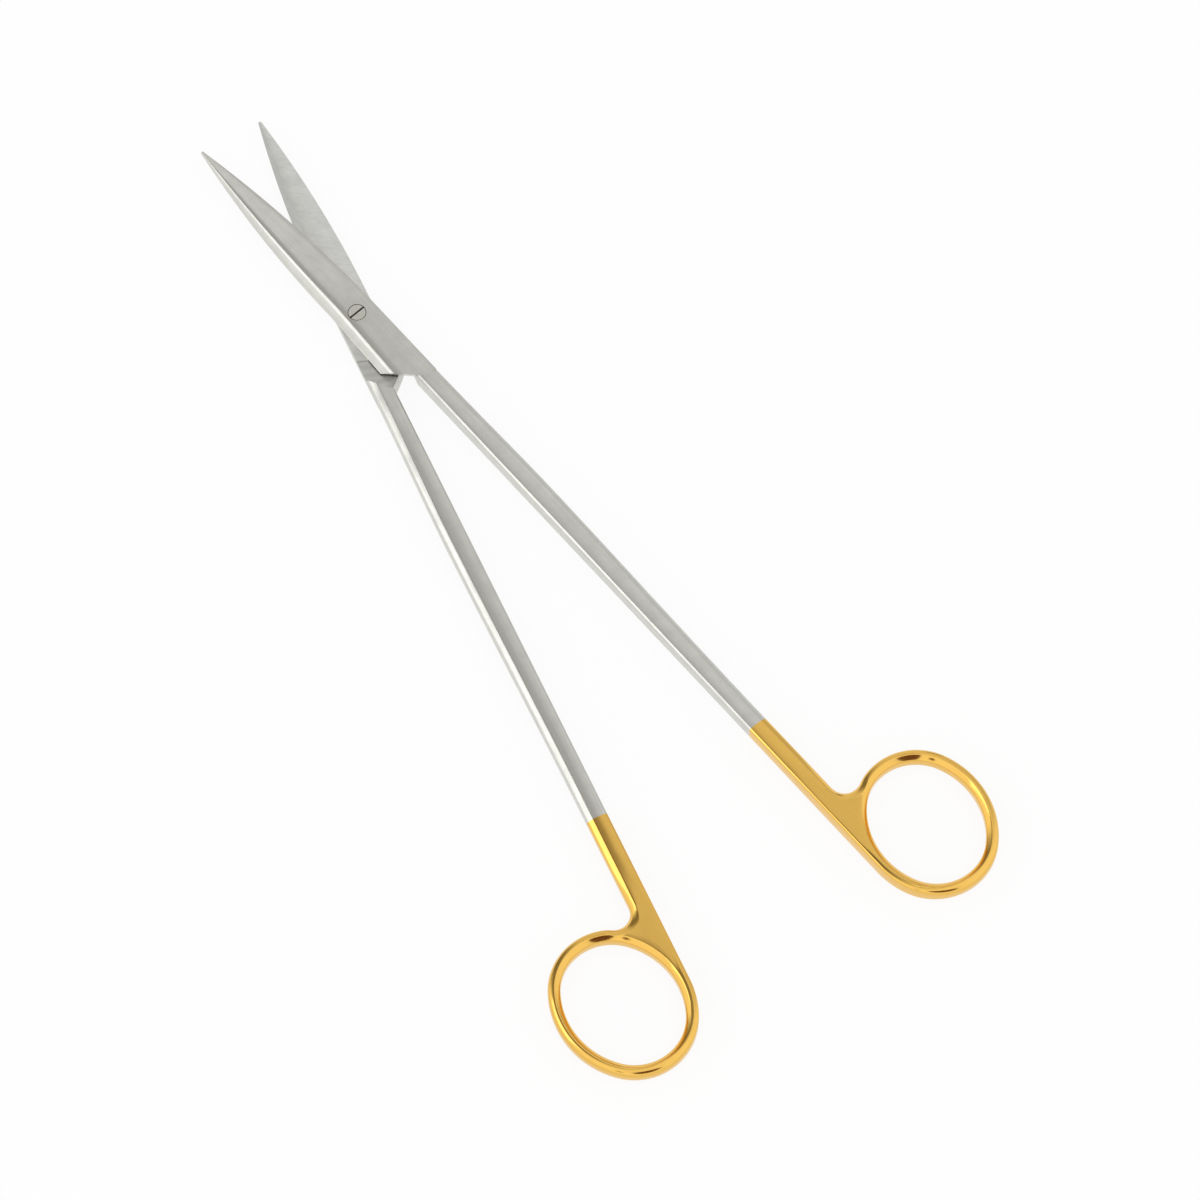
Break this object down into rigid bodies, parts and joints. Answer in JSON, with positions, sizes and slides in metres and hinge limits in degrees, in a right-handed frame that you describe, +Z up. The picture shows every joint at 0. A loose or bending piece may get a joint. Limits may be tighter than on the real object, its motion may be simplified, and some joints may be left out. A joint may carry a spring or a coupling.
{
  "type": "dissecting scissors",
  "caption": "Long slim dissecting scissors with straight pointed blades, a flush pivot screw and gold-plated oval finger rings, lying half open.",
  "frame": {"origin": "on the pivot axis, at the flat underside of the joint on which the scissors lie", "axes": "+Z up along the pivot axis, +Y along the line that halves the opening, towards the tips, +X towards the upper half's ring"},
  "size_m": [0.0982, 0.2252, 0.0044],
  "materials": {
    "steel": "satin",
    "carbide": "fine ground",
    "screw_steel": "satin"
  },
  "bodies": {
    "lower": {"lower_half": "steel", "lower_edge_insert": "carbide", "pivot_screw": "screw_steel"},
    "upper": {"upper_half": "steel", "upper_edge_insert": "carbide"}
  },
  "joints": [
    {"name": "pivot", "type": "hinge", "parent": "lower", "child": "upper", "pos_m": [0, 0, 0], "axis": [0, 0, 1], "range_deg": [-15.5, 74.5]}
  ]
}
